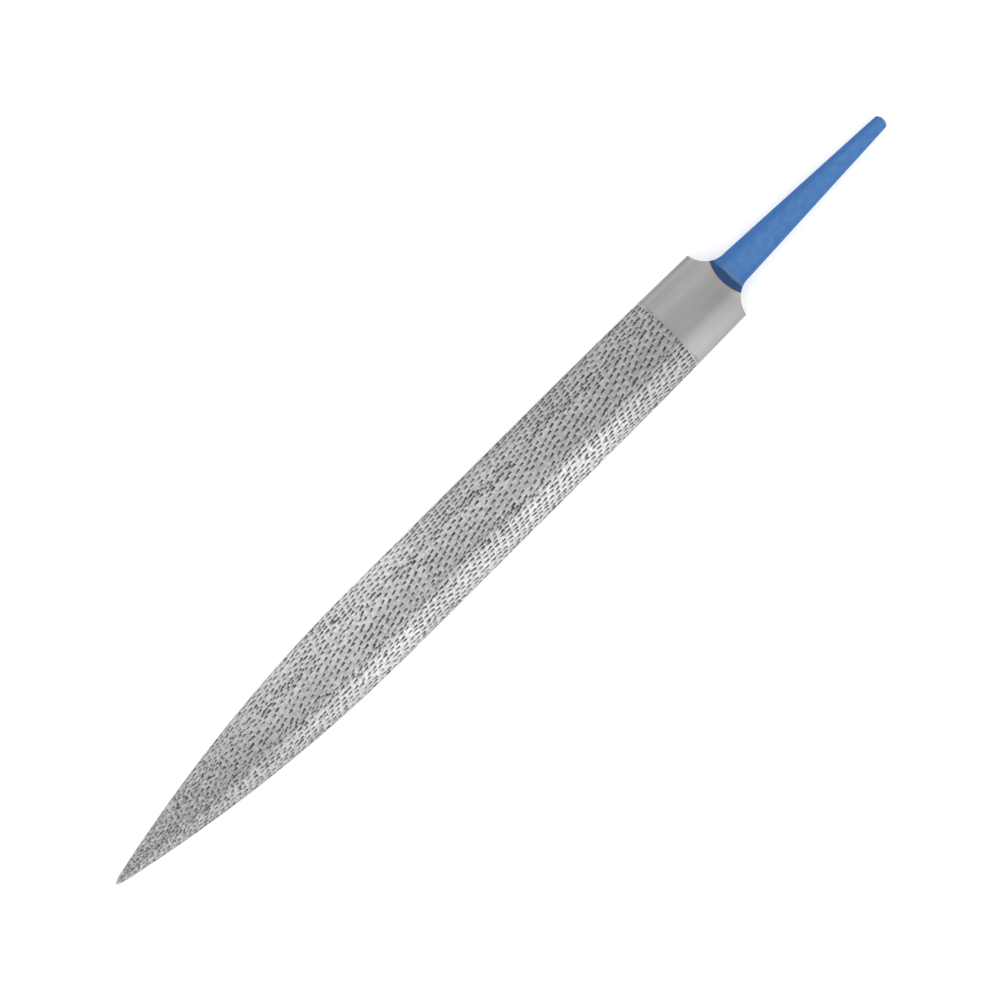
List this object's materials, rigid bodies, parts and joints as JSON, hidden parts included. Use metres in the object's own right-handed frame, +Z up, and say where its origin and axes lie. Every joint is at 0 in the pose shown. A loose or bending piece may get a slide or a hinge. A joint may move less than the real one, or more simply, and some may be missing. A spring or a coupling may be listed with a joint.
{
  "type": "half-round rasp",
  "caption": "Half-round rasp with punched teeth on both faces, a bare ground heel with scooped shoulders and a tapered blue lacquered tang for a handle.",
  "frame": {"origin": "middle of the footprint, on the plane of the tooth tips of the flat face, which the rasp lies on", "axes": "+X along the rasp from the point to the tang, +Z up out of the round back"},
  "size_m": [0.319, 0.0258, 0.0089],
  "materials": {
    "cut_steel": "punched and hardened, satin",
    "ground_steel": "fine lengthwise grinding",
    "blue_lacquer": "satin dipped lacquer over forged steel"
  },
  "bodies": {
    "root": {"toothed_body": "cut_steel", "heel": "ground_steel", "point": "ground_steel", "tang": "blue_lacquer"}
  },
  "joints": []
}
